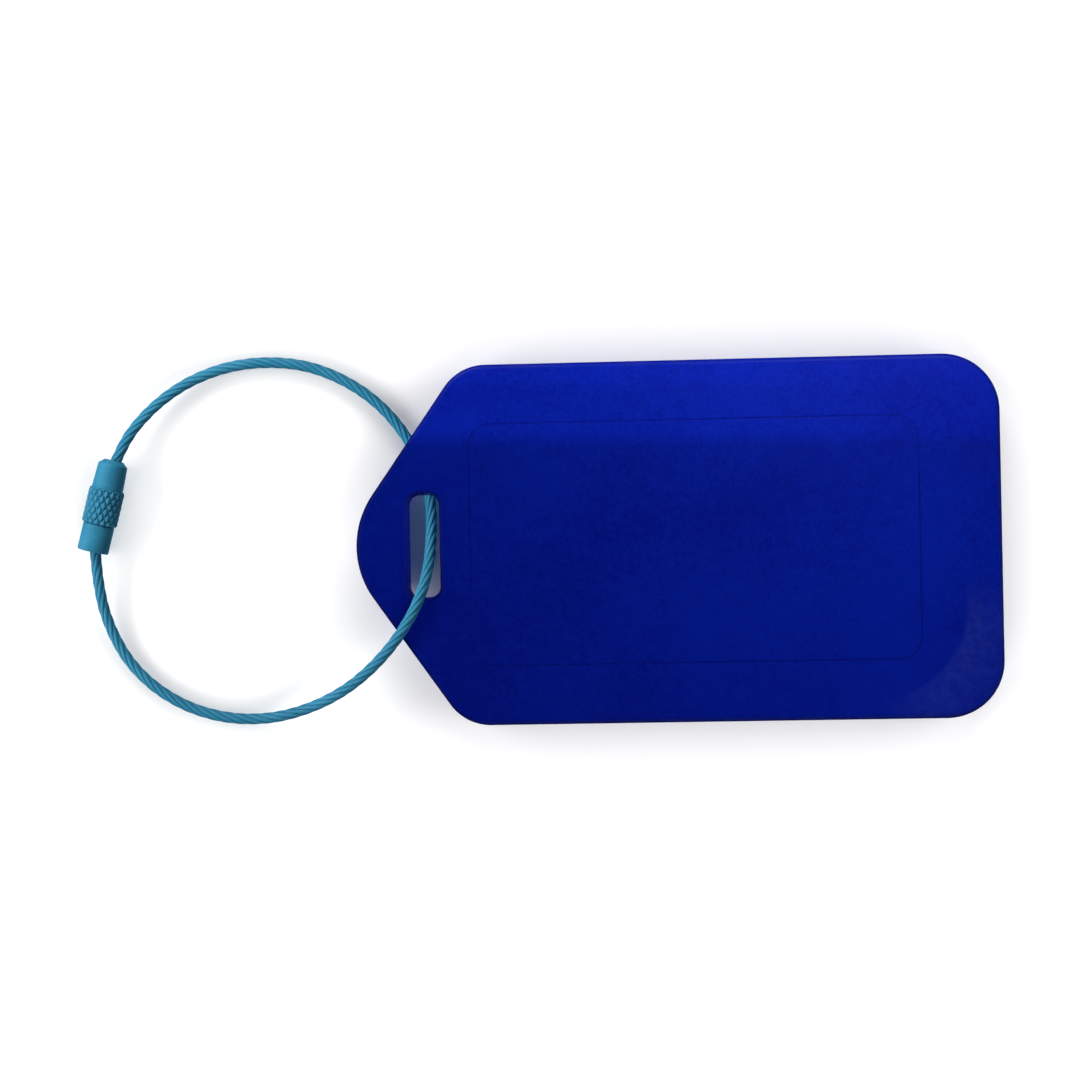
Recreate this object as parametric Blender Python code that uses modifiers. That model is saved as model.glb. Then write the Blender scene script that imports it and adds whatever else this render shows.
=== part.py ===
"""Luggage tag: two moulded halves, a hinged window over an address card, and a wire loop.

The tag lies flat with its closed face up. +X runs from the slotted nose to the square end, +Y
runs across the tag and +Z is up. The origin is on the surface that the tag lies on, under its
middle. All sizes are in metres and all angles in radians.
"""

import math

import bmesh
import bpy
from mathutils import Matrix, Vector

# The tag's outline and its two halves
TAG_LENGTH = 0.0925
TAG_WIDTH = 0.052
TAG_TOP = 0.0048
PARTING_HEIGHT = 0.00215
PARTING_GAP = 0.00015
NOSE_SLOPE = math.radians(55)
NOSE_RADIUS = 0.013
SHOULDER_RADIUS = 0.0072
CORNER_RADIUS = 0.0082
EDGE_ROUND = 0.0007
FIT_GAP = 0.0003

# The slot through the nose, and the room under the nose for the rope
SLOT_CENTRE_X = -0.03647
SLOT_WIDTH = 0.0051
SLOT_LENGTH = 0.0156
SLOT_CORNER = 0.0019
FRAME_FRONT_X = -0.0328

# The card pocket and the window opening under it
POCKET_START_X = -0.02975
POCKET_END_X = 0.03455
POCKET_WIDTH = 0.035
POCKET_CORNER = 0.0032
POCKET_CEILING = 0.0031
CARD_THICKNESS = 0.00025
CARD_HEIGHT = 0.00235
OPENING_START_X = -0.0276
NAIL_NOTCH_RADIUS = 0.012
NAIL_NOTCH_DEPTH = 0.0009

# The pegs that hold the two halves together
PEG_RADIUS = 0.0013
PEG_REACH = 0.0012
PEG_ROOT = 0.0006
PEG_X = (-0.022, 0.005, 0.032)
PEG_Y = 0.0217
END_PEG_X = 0.0405
END_PEG_Y = 0.010

# The window's hinge
HINGE_X = -0.0289
HINGE_HEIGHT = 0.00105
KNUCKLE_RADIUS = 0.001
KNUCKLE_HALF_WIDTH = 0.00785
PIN_RADIUS = 0.00035
PIN_BORE_RADIUS = 0.00055
PIN_SOCKET_DEPTH = 0.0032
WINDOW_THICKNESS = 0.0014
WINDOW_EDGE_ROUND = 0.0002
WINDOW_HINGE_GAP = 0.0006
TONGUE_TRIM = 0.0001

# The screw closure. Heights run along its axis from the rope's entry in the threaded end.
BARREL_BASE = Vector((-0.0853, 0.0002, 0.00265))
BARREL_LEAN = math.radians(14.5)
BARREL_LENGTH = 0.01365
LOWER_RADIUS = 0.00226
LOWER_LENGTH = 0.00395
BARREL_GAP = 0.00015
UPPER_RADIUS = 0.0022
KNURL_RADIUS = 0.00258
KNURL_TOP = 0.00935
BARREL_EDGE = 0.00012
UPPER_EDGE = 0.00045
STUD_RADIUS = 0.0015
STUD_TIP = 0.0076
SLEEVE_BORE_RADIUS = 0.00175
SHOULDER_START = 0.0116
MOUTH_RADIUS = 0.00164
LOWER_HOLE_RADIUS = 0.0011
LOWER_HOLE_DEPTH = 0.0046
FERRULE_RADIUS = 0.0015
FERRULE_HOLE_RADIUS = 0.00115
FERRULE_START = 0.0092
FERRULE_END = 0.01135

# The wire rope. Its route runs from the stop ferrule, round the far side of the loop, under the
# nose, up through the slot, over the nose and back to the threaded end.
ROPE_RADIUS = 0.0008
ROPE_POINT_SPACING = 0.0025
ROUTE_SAMPLES = 24
ROPE_ROUTE = [
    Vector((-0.08292, 0.00940, 0.00265)),
    Vector((-0.08247, 0.01114, 0.00265)),
    Vector((-0.08140, 0.01375, 0.00262)),
    Vector((-0.07965, 0.01700, 0.00242)),
    Vector((-0.07670, 0.02050, 0.00195)),
    Vector((-0.07090, 0.02470, 0.00125)),
    Vector((-0.06480, 0.02685, 0.00092)),
    Vector((-0.05880, 0.02735, 0.00085)),
    Vector((-0.05300, 0.02650, 0.00085)),
    Vector((-0.04745, 0.02410, 0.00085)),
    Vector((-0.04265, 0.02045, 0.00085)),
    Vector((-0.03950, 0.01665, 0.00086)),
    Vector((-0.03735, 0.01290, 0.00090)),
    Vector((-0.03605, 0.00885, 0.00098)),
    Vector((-0.03560, 0.00490, 0.00145)),
    Vector((-0.03555, 0.00150, 0.00255)),
    Vector((-0.03575, -0.00215, 0.00410)),
    Vector((-0.03645, -0.00570, 0.00552)),
    Vector((-0.03765, -0.00875, 0.00605)),
    Vector((-0.04050, -0.01330, 0.00600)),
    Vector((-0.04410, -0.01725, 0.00535)),
    Vector((-0.04855, -0.02065, 0.00390)),
    Vector((-0.05400, -0.02325, 0.00235)),
    Vector((-0.05985, -0.02465, 0.00130)),
    Vector((-0.06570, -0.02460, 0.00090)),
    Vector((-0.07175, -0.02295, 0.00085)),
    Vector((-0.07740, -0.01945, 0.00085)),
    Vector((-0.08070, -0.01590, 0.00092)),
    Vector((-0.08275, -0.01220, 0.00115)),
    Vector((-0.08400, -0.00850, 0.00160)),
    Vector((-0.08460, -0.00475, 0.00215)),
    Vector((-0.08485, -0.00115, 0.00255)),
    Vector((-0.08492, 0.00165, 0.00265)),
    Vector((-0.08422, 0.00436, 0.00265)),
]

# The loop turns on a line along the tag through the middle of the slotted nose
LOOP_PIVOT = Vector((SLOT_CENTRE_X, 0, (PARTING_HEIGHT + TAG_TOP) / 2))

# Sides of round shapes
ARC_STEP = math.radians(9)
TURNED_SIDES = 32
PEG_SIDES = 16
HINGE_SIDES = 24
BALL_SIDES = 48
ROUNDING_STEPS = 2
SHARP_ANGLE = math.radians(35)
WELD_DISTANCE = 0.000001
SEAM_DISTANCE = 0.00001
AXIS_MARK_SIZE = 0.005

BLUE = (0.004, 0.022, 0.36)
TURQUOISE = (0.045, 0.28, 0.46)
STEEL = (0.55, 0.56, 0.58)
CLEAR = (0.86, 0.90, 0.92)
PAPER = (0.83, 0.81, 0.76)
SATIN_ROUGHNESS = 0.35
POLISHED_ROUGHNESS = 0.08
PAPER_ROUGHNESS = 0.8


def clear_scene():
    for old in list(bpy.data.objects):
        bpy.data.objects.remove(old)


def new_collection(name):
    collection = bpy.data.collections.new(name)
    bpy.context.scene.collection.children.link(collection)
    return collection


def new_material(name, colour, roughness, metallic=0.0):
    material = bpy.data.materials.new(name)
    material.use_nodes = True
    shader = material.node_tree.nodes["Principled BSDF"]
    shader.inputs["Base Color"].default_value = (*colour, 1)
    shader.inputs["Roughness"].default_value = roughness
    shader.inputs["Metallic"].default_value = metallic
    return material


def new_empty(name, place, collection, parent=None):
    empty = bpy.data.objects.new(name, None)
    empty.empty_display_size = AXIS_MARK_SIZE
    empty.matrix_local = place
    empty.parent = parent
    collection.objects.link(empty)
    return empty


def round_corners(corners):
    """Turn (x, y, radius) corners, counter-clockwise, into points with an arc at each corner."""
    points = []
    for index, (x, y, radius) in enumerate(corners):
        corner = Vector((x, y))
        before = (Vector(corners[index - 1][:2]) - corner).normalized()
        after = (Vector(corners[(index + 1) % len(corners)][:2]) - corner).normalized()
        half_angle = before.angle(after) / 2
        centre = corner + (before + after).normalized() * radius / math.sin(half_angle)
        start = corner + before * radius / math.tan(half_angle) - centre
        turn = math.pi - 2 * half_angle
        steps = max(2, round(turn / ARC_STEP))
        for step in range(steps + 1):
            points.append(centre + Matrix.Rotation(turn * step / steps, 2) @ start)
    return points


def rectangle(start_x, end_x, width, corner):
    return round_corners(
        [
            (start_x, -width / 2, corner),
            (end_x, -width / 2, corner),
            (end_x, width / 2, corner),
            (start_x, width / 2, corner),
        ]
    )


def tag_outline():
    vertex_x = -TAG_LENGTH / 2 - NOSE_RADIUS * (1 / math.sin(NOSE_SLOPE) - 1)
    shoulder_x = vertex_x + TAG_WIDTH / 2 / math.tan(NOSE_SLOPE)
    return round_corners(
        [
            (vertex_x, 0, NOSE_RADIUS),
            (shoulder_x, -TAG_WIDTH / 2, SHOULDER_RADIUS),
            (TAG_LENGTH / 2, -TAG_WIDTH / 2, CORNER_RADIUS),
            (TAG_LENGTH / 2, TAG_WIDTH / 2, CORNER_RADIUS),
            (shoulder_x, TAG_WIDTH / 2, SHOULDER_RADIUS),
        ]
    )


def new_plate(name, outline, low, high, collection, rounding=0.0):
    """A flat plate of one outline, its edges rounded, made as a filled curve and then a mesh."""
    curve = bpy.data.curves.new(name, "CURVE")
    curve.dimensions = "2D"
    curve.fill_mode = "BOTH"
    curve.extrude = (high - low) / 2 - rounding
    curve.bevel_depth = rounding
    curve.bevel_resolution = ROUNDING_STEPS
    curve.offset = -rounding
    spline = curve.splines.new("POLY")
    spline.points.add(len(outline) - 1)
    for point, place in zip(spline.points, outline):
        point.co = (place.x, place.y, 0, 1)
    spline.use_cyclic_u = True
    guide = bpy.data.objects.new(name + "_curve", curve)
    guide.location.z = (low + high) / 2
    collection.objects.link(guide)
    bpy.context.view_layer.update()
    evaluated = guide.evaluated_get(bpy.context.evaluated_depsgraph_get())
    mesh = bpy.data.meshes.new_from_object(evaluated)
    mesh.transform(guide.matrix_world)
    bpy.data.objects.remove(guide)
    return mesh_object(name, mesh, collection)


def mesh_object(name, mesh, collection):
    """Weld a mesh, face it outwards and put it in an object."""
    shape = bmesh.new()
    shape.from_mesh(mesh)
    bmesh.ops.remove_doubles(shape, verts=shape.verts, dist=WELD_DISTANCE)
    bmesh.ops.recalc_face_normals(shape, faces=shape.faces)
    shape.to_mesh(mesh)
    shape.free()
    mesh.name = name
    made = bpy.data.objects.new(name, mesh)
    collection.objects.link(made)
    return made


def new_box(name, low, high, collection):
    shape = bmesh.new()
    low = Vector(low)
    high = Vector(high)
    size = high - low
    place = Matrix.Translation((low + high) / 2) @ Matrix.Diagonal((*size, 1))
    bmesh.ops.create_cube(shape, size=1, matrix=place)
    mesh = bpy.data.meshes.new(name)
    shape.to_mesh(mesh)
    shape.free()
    return mesh_object(name, mesh, collection)


def new_rod(name, start, end, radius, sides, collection):
    """A cylinder between two points."""
    start = Vector(start)
    end = Vector(end)
    turn = (end - start).to_track_quat("Z", "Y").to_matrix().to_4x4()
    shape = bmesh.new()
    bmesh.ops.create_cone(
        shape,
        cap_ends=True,
        segments=sides,
        radius1=radius,
        radius2=radius,
        depth=(end - start).length,
        matrix=Matrix.Translation((start + end) / 2) @ turn,
    )
    mesh = bpy.data.meshes.new(name)
    shape.to_mesh(mesh)
    shape.free()
    return mesh_object(name, mesh, collection)


def new_ball(name, centre, radius, collection):
    shape = bmesh.new()
    bmesh.ops.create_uvsphere(
        shape,
        u_segments=BALL_SIDES,
        v_segments=BALL_SIDES // 2,
        radius=radius,
        matrix=Matrix.Translation(centre),
    )
    mesh = bpy.data.meshes.new(name)
    shape.to_mesh(mesh)
    shape.free()
    return mesh_object(name, mesh, collection)


def new_turned(name, profile, collection, closed):
    """Turn a profile of (radius, height) points about Z, the outer side first and downwards."""
    mesh = bpy.data.meshes.new(name)
    count = len(profile)
    edges = [(index, index + 1) for index in range(count - 1)]
    if closed:
        edges.append((count - 1, 0))
    mesh.from_pydata([(radius, 0, height) for radius, height in profile], edges, [])
    made = bpy.data.objects.new(name, mesh)
    collection.objects.link(made)
    screw = made.modifiers.new("turn", "SCREW")
    screw.axis = "Z"
    screw.steps = TURNED_SIDES
    screw.render_steps = TURNED_SIDES
    screw.use_merge_vertices = True
    screw.merge_threshold = SEAM_DISTANCE
    return made


def combine(target, tool, operation):
    """Cut a piece with a tool, or join the tool to it; the tool is hidden."""
    modifier = target.modifiers.new(tool.name, "BOOLEAN")
    modifier.operation = operation
    modifier.object = tool
    modifier.solver = "EXACT"
    tool.hide_render = True
    tool.display_type = "WIRE"


def finish_piece(piece, material):
    piece.data.materials.clear()
    piece.data.materials.append(material)
    if piece.type == "MESH":
        piece.data.shade_smooth()
        piece.data.set_sharp_from_angle(angle=SHARP_ANGLE)


def move_origin(piece, origin):
    """Put a piece's origin on its joint's axis without moving its shape."""
    piece.data.transform(Matrix.Translation(-Vector(origin)))
    piece.location = origin


def peg_places():
    places = [(x, side * PEG_Y) for x in PEG_X for side in (-1, 1)]
    places += [(END_PEG_X, side * END_PEG_Y) for side in (-1, 1)]
    return places


def make_back_shell(parts, cutters, material):
    """The closed upper half, with the slotted nose and the card pocket in its underside."""
    shell_low = PARTING_HEIGHT - 2 * EDGE_ROUND
    shell = new_plate("back_shell", tag_outline(), shell_low, TAG_TOP, parts, EDGE_ROUND)
    reach = TAG_LENGTH
    under = new_box(
        "shell_underside_cut",
        (-reach, -reach, -TAG_TOP),
        (reach, reach, PARTING_HEIGHT),
        cutters,
    )
    combine(shell, under, "DIFFERENCE")
    slot_start = SLOT_CENTRE_X - SLOT_WIDTH / 2
    slot_end = SLOT_CENTRE_X + SLOT_WIDTH / 2
    slot_outline = rectangle(slot_start, slot_end, SLOT_LENGTH, SLOT_CORNER)
    slot = new_plate("slot_cut", slot_outline, 0, 2 * TAG_TOP, cutters)
    combine(shell, slot, "DIFFERENCE")
    pocket_outline = rectangle(POCKET_START_X, POCKET_END_X, POCKET_WIDTH, POCKET_CORNER)
    pocket = new_plate("pocket_cut", pocket_outline, 0, POCKET_CEILING, cutters)
    combine(shell, pocket, "DIFFERENCE")
    peg_low = PARTING_HEIGHT - PEG_REACH
    peg_high = PARTING_HEIGHT + PEG_ROOT
    for number, (x, y) in enumerate(peg_places(), 1):
        peg = new_rod(
            f"peg_{number}", (x, y, peg_low), (x, y, peg_high), PEG_RADIUS, PEG_SIDES, cutters
        )
        combine(shell, peg, "UNION")
    finish_piece(shell, material)


def make_front_frame(parts, cutters, material):
    """The lower half, round the window opening, with the hinge's pin sockets."""
    top = PARTING_HEIGHT - PARTING_GAP
    plate_top = top + 2 * EDGE_ROUND
    frame = new_plate("front_frame", tag_outline(), 0, plate_top, parts, EDGE_ROUND)
    reach = TAG_LENGTH
    above = new_box(
        "frame_top_cut", (-reach, -reach, top), (reach, reach, 2 * TAG_TOP), cutters
    )
    combine(frame, above, "DIFFERENCE")
    nose = new_box(
        "frame_nose_cut",
        (-reach, -reach, -TAG_TOP),
        (FRAME_FRONT_X, reach, 2 * TAG_TOP),
        cutters,
    )
    combine(frame, nose, "DIFFERENCE")
    opening_outline = rectangle(OPENING_START_X, POCKET_END_X, POCKET_WIDTH, POCKET_CORNER)
    opening = new_plate("opening_cut", opening_outline, -TAG_TOP, TAG_TOP, cutters)
    combine(frame, opening, "DIFFERENCE")
    notch_half = KNUCKLE_HALF_WIDTH + FIT_GAP
    notch = new_box(
        "knuckle_notch_cut",
        (HINGE_X - KNUCKLE_RADIUS - FIT_GAP, -notch_half, -TAG_TOP),
        (OPENING_START_X + KNUCKLE_RADIUS, notch_half, TAG_TOP),
        cutters,
    )
    combine(frame, notch, "DIFFERENCE")
    socket_reach = notch_half + PIN_SOCKET_DEPTH
    sockets = new_rod(
        "pin_socket_cut",
        (HINGE_X, -socket_reach, HINGE_HEIGHT),
        (HINGE_X, socket_reach, HINGE_HEIGHT),
        PIN_BORE_RADIUS,
        HINGE_SIDES,
        cutters,
    )
    combine(frame, sockets, "DIFFERENCE")
    hole_low = PARTING_HEIGHT - PEG_REACH - FIT_GAP
    for number, (x, y) in enumerate(peg_places(), 1):
        hole = new_rod(
            f"peg_hole_cut_{number}",
            (x, y, hole_low),
            (x, y, TAG_TOP),
            PEG_RADIUS + FIT_GAP,
            PEG_SIDES,
            cutters,
        )
        combine(frame, hole, "DIFFERENCE")
    notch_centre = (POCKET_END_X, 0, NAIL_NOTCH_DEPTH - NAIL_NOTCH_RADIUS)
    nail_notch = new_ball("nail_notch_cut", notch_centre, NAIL_NOTCH_RADIUS, cutters)
    combine(frame, nail_notch, "DIFFERENCE")
    finish_piece(frame, material)


def make_clear_window(parts, cutters, pivot, material):
    """The hinged pane, with a tongue and a bored knuckle at its hinge side."""
    low = HINGE_HEIGHT - WINDOW_THICKNESS / 2
    high = HINGE_HEIGHT + WINDOW_THICKNESS / 2
    outline = rectangle(
        OPENING_START_X + WINDOW_HINGE_GAP,
        POCKET_END_X - FIT_GAP,
        POCKET_WIDTH - 2 * FIT_GAP,
        POCKET_CORNER - FIT_GAP,
    )
    pane = new_plate("clear_window", outline, low, high, parts, WINDOW_EDGE_ROUND)
    tongue = new_box(
        "window_tongue",
        (HINGE_X, -KNUCKLE_HALF_WIDTH, low + TONGUE_TRIM),
        (OPENING_START_X + KNUCKLE_RADIUS, KNUCKLE_HALF_WIDTH, high - TONGUE_TRIM),
        cutters,
    )
    combine(pane, tongue, "UNION")
    knuckle = new_rod(
        "window_knuckle",
        (HINGE_X, -KNUCKLE_HALF_WIDTH, HINGE_HEIGHT),
        (HINGE_X, KNUCKLE_HALF_WIDTH, HINGE_HEIGHT),
        KNUCKLE_RADIUS,
        HINGE_SIDES,
        cutters,
    )
    combine(pane, knuckle, "UNION")
    bore = new_rod(
        "knuckle_bore_cut",
        (HINGE_X, -2 * KNUCKLE_HALF_WIDTH, HINGE_HEIGHT),
        (HINGE_X, 2 * KNUCKLE_HALF_WIDTH, HINGE_HEIGHT),
        PIN_BORE_RADIUS,
        HINGE_SIDES,
        cutters,
    )
    combine(pane, bore, "DIFFERENCE")
    pane.data.transform(Matrix.Translation(-pivot.location))
    pane.parent = pivot
    finish_piece(pane, material)


def make_hinge_pin(parts, material):
    reach = KNUCKLE_HALF_WIDTH + PIN_SOCKET_DEPTH
    pin = new_rod(
        "hinge_pin",
        (HINGE_X, -reach, HINGE_HEIGHT),
        (HINGE_X, reach, HINGE_HEIGHT),
        PIN_RADIUS,
        PEG_SIDES,
        parts,
    )
    move_origin(pin, (HINGE_X, 0, HINGE_HEIGHT))
    finish_piece(pin, material)


def make_address_card(parts, material):
    outline = rectangle(
        POCKET_START_X + FIT_GAP,
        POCKET_END_X - FIT_GAP,
        POCKET_WIDTH - 2 * FIT_GAP,
        POCKET_CORNER - FIT_GAP,
    )
    card = new_plate(
        "address_card", outline, CARD_HEIGHT, CARD_HEIGHT + CARD_THICKNESS, parts
    )
    finish_piece(card, material)


def smooth_route(route, spacing):
    """Read evenly spaced points from a smooth curve through the route's points."""
    chords = [(after - before).length for before, after in zip(route, route[1:])]
    slopes = [(after - before) / (after - before).length for before, after in zip(route, route[1:])]
    tangents = [slopes[0]]
    for index in range(1, len(route) - 1):
        near = chords[index - 1]
        far = chords[index]
        tangents.append((slopes[index - 1] * far + slopes[index] * near) / (near + far))
    tangents.append(slopes[-1])
    fine = [route[0].copy()]
    for index, chord in enumerate(chords):
        for sample in range(1, ROUTE_SAMPLES + 1):
            t = sample / ROUTE_SAMPLES
            start_weight = (1 + 2 * t) * (1 - t) ** 2
            end_weight = t * t * (3 - 2 * t)
            start_slope = t * (1 - t) ** 2 * chord
            end_slope = t * t * (t - 1) * chord
            fine.append(
                route[index] * start_weight
                + route[index + 1] * end_weight
                + tangents[index] * start_slope
                + tangents[index + 1] * end_slope
            )
    steps = [(after - before).length for before, after in zip(fine, fine[1:])]
    count = round(sum(steps) / spacing)
    goal_step = sum(steps) / count
    points = [fine[0]]
    travelled = 0.0
    for before, after, step in zip(fine, fine[1:], steps):
        while len(points) < count and travelled + step >= goal_step * len(points):
            share = (goal_step * len(points) - travelled) / step
            points.append(before.lerp(after, share))
        travelled += step
    points.append(fine[-1])
    return points


def make_wire_rope(parts, pivot, material):
    curve = bpy.data.curves.new("wire_rope", "CURVE")
    curve.dimensions = "3D"
    curve.bevel_depth = ROPE_RADIUS
    curve.bevel_resolution = 2
    curve.use_fill_caps = True
    route = smooth_route(ROPE_ROUTE, ROPE_POINT_SPACING)
    spline = curve.splines.new("POLY")
    spline.points.add(len(route) - 1)
    for point, place in zip(spline.points, route):
        point.co = (*(place - pivot.location), 1)
    rope = bpy.data.objects.new("wire_rope", curve)
    rope.parent = pivot
    parts.objects.link(rope)
    finish_piece(rope, material)


def make_threaded_end(parts, axis, material):
    """The lower barrel and its stud, with a flared blind hole for the rope."""
    profile = [
        (0, STUD_TIP),
        (STUD_RADIUS - 2 * BARREL_EDGE, STUD_TIP),
        (STUD_RADIUS, STUD_TIP - 2 * BARREL_EDGE),
        (STUD_RADIUS, LOWER_LENGTH),
        (LOWER_RADIUS - BARREL_EDGE, LOWER_LENGTH),
        (LOWER_RADIUS, LOWER_LENGTH - BARREL_EDGE),
        (LOWER_RADIUS, BARREL_EDGE),
        (LOWER_RADIUS - BARREL_EDGE, 0),
        (MOUTH_RADIUS, 0),
        (LOWER_HOLE_RADIUS, LOWER_HOLE_DEPTH / 2),
        (LOWER_HOLE_RADIUS, LOWER_HOLE_DEPTH),
        (0, LOWER_HOLE_DEPTH + LOWER_HOLE_RADIUS / 2),
    ]
    piece = new_turned("threaded_end", profile, parts, closed=False)
    piece.parent = axis
    finish_piece(piece, material)


def make_knurled_sleeve(parts, axis, material):
    """The upper barrel and the knurled band, bored for the stud and flared where the rope leaves."""
    sleeve_start = LOWER_LENGTH + BARREL_GAP
    edge_drop = UPPER_EDGE * math.sqrt(0.5)
    profile = [
        (UPPER_RADIUS - UPPER_EDGE, BARREL_LENGTH),
        (UPPER_RADIUS - UPPER_EDGE + edge_drop, BARREL_LENGTH - UPPER_EDGE + edge_drop),
        (UPPER_RADIUS, BARREL_LENGTH - UPPER_EDGE),
        (UPPER_RADIUS, KNURL_TOP),
        (KNURL_RADIUS - BARREL_EDGE, KNURL_TOP),
        (KNURL_RADIUS, KNURL_TOP - BARREL_EDGE),
        (KNURL_RADIUS, sleeve_start + BARREL_EDGE),
        (KNURL_RADIUS - BARREL_EDGE, sleeve_start),
        (SLEEVE_BORE_RADIUS, sleeve_start),
        (SLEEVE_BORE_RADIUS, SHOULDER_START),
        (MOUTH_RADIUS - UPPER_EDGE, SHOULDER_START),
        (MOUTH_RADIUS - UPPER_EDGE, SHOULDER_START + UPPER_EDGE),
        (MOUTH_RADIUS, BARREL_LENGTH),
    ]
    piece = new_turned("knurled_sleeve", profile, parts, closed=True)
    piece.parent = axis
    finish_piece(piece, material)


def make_stop_ferrule(parts, axis, material):
    profile = [
        (FERRULE_RADIUS - BARREL_EDGE, FERRULE_END),
        (FERRULE_RADIUS, FERRULE_END - BARREL_EDGE),
        (FERRULE_RADIUS, FERRULE_START + BARREL_EDGE),
        (FERRULE_RADIUS - BARREL_EDGE, FERRULE_START),
        (FERRULE_HOLE_RADIUS, FERRULE_START),
        (FERRULE_HOLE_RADIUS, FERRULE_END),
    ]
    piece = new_turned("stop_ferrule", profile, parts, closed=True)
    piece.parent = axis
    finish_piece(piece, material)


def barrel_place():
    """The closure's frame: Z along its axis, X towards the inside of the loop."""
    along = Vector((math.sin(BARREL_LEAN), math.cos(BARREL_LEAN), 0))
    inward = Vector((math.cos(BARREL_LEAN), -math.sin(BARREL_LEAN), 0))
    turn = Matrix((inward, along.cross(inward), along)).transposed().to_4x4()
    return Matrix.Translation(BARREL_BASE) @ turn


def build():
    clear_scene()
    parts = new_collection("luggage_tag")
    cutters = new_collection("cutters")
    blue = new_material("blue_plastic", BLUE, SATIN_ROUGHNESS)
    turquoise = new_material("turquoise_coating", TURQUOISE, SATIN_ROUGHNESS)
    painted = new_material("turquoise_paint", TURQUOISE, SATIN_ROUGHNESS)
    steel = new_material("steel", STEEL, SATIN_ROUGHNESS, metallic=1.0)
    clear = new_material("clear_plastic", CLEAR, POLISHED_ROUGHNESS)
    paper = new_material("paper", PAPER, PAPER_ROUGHNESS)

    loop_pivot = new_empty("loop_pivot", Matrix.Translation(LOOP_PIVOT), parts)
    window_place = Matrix.Translation((HINGE_X, 0, HINGE_HEIGHT))
    window_pivot = new_empty("window_pivot", window_place, parts)
    barrel_local = Matrix.Translation(-LOOP_PIVOT) @ barrel_place()
    barrel_axis = new_empty("barrel_axis", barrel_local, parts, loop_pivot)
    bpy.context.view_layer.update()

    make_back_shell(parts, cutters, blue)
    make_front_frame(parts, cutters, blue)
    make_clear_window(parts, cutters, window_pivot, clear)
    make_hinge_pin(parts, steel)
    make_address_card(parts, paper)
    make_wire_rope(parts, loop_pivot, turquoise)
    make_threaded_end(parts, barrel_axis, painted)
    make_knurled_sleeve(parts, barrel_axis, painted)
    make_stop_ferrule(parts, barrel_axis, steel)


build()
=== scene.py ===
"""The looks of a luggage tag: moulded blue halves, a clear window over a card, and a wire loop.

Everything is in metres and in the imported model's frame: +X from the slotted nose to the square
end, +Y across the tag, +Z up out of its closed face, and the tag lies on the plane Z = 0.
"""

import math

import bmesh
import bpy
from mathutils import Matrix, Vector

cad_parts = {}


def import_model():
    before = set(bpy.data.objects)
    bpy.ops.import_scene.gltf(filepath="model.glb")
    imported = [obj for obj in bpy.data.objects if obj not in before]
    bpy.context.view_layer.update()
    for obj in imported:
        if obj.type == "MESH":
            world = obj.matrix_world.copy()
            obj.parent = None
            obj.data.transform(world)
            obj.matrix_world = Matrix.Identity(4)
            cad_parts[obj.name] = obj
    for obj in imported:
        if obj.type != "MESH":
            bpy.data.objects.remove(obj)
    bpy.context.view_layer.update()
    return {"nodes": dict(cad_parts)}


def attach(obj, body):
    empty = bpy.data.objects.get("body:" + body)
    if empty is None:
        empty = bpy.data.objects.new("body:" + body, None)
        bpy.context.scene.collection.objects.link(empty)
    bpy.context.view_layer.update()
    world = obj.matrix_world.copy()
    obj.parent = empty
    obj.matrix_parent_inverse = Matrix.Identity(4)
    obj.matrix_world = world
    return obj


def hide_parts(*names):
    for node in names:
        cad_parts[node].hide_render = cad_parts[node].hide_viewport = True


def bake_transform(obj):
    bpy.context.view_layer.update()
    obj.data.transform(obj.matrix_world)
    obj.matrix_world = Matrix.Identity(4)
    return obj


# The tag's outline and its two halves
TAG_LENGTH = 0.0925
TAG_WIDTH = 0.052
TAG_TOP = 0.0048
SHELL_LOW = 0.00215
FRAME_TOP = 0.002
NOSE_SLOPE = math.radians(55)
NOSE_RADIUS = 0.013
SHOULDER_RADIUS = 0.0072
CORNER_RADIUS = 0.0082
EDGE_ROUND = 0.0007
PARTING_BREAK = 0.00014
SUPPORT = 0.00015

# The slot through the nose
SLOT_CENTRE_X = -0.03647
SLOT_WIDTH = 0.0051
SLOT_LENGTH = 0.0156
SLOT_CORNER = 0.0019
SLOT_ROUND = 0.00035
SLOT_TOP_INSET = 0.0001
SLOT_FOOT_INSET = 0.0004
SLOT_LOW_ROUND = 0.0002

# The witness line that the pocket leaves on the closed face
WITNESS_START_X = -0.0297
WITNESS_END_X = 0.0346
WITNESS_WIDTH = 0.0348
WITNESS_CORNER = 0.0032
WITNESS_HALF_WIDTH = 0.00018
WITNESS_FLOOR = 0.00006
WITNESS_DEPTH = 0.000015

# The card pocket, the window opening and the notch for the window's knuckle
POCKET_START_X = -0.02975
POCKET_END_X = 0.03455
POCKET_WIDTH = 0.035
POCKET_CORNER = 0.0032
POCKET_CEILING = 0.0031
FRAME_FRONT_X = -0.0328
FRAME_FRONT_RADIUS = 0.0009
OPENING_START_X = -0.0276
OPENING_ROUND = 0.0002
NOTCH_START_X = -0.0302
NOTCH_HALF_WIDTH = 0.00815
NOTCH_CORNER = 0.00025
NAIL_NOTCH_RADIUS = 0.012
NAIL_NOTCH_DEPTH = 0.0009

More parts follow.
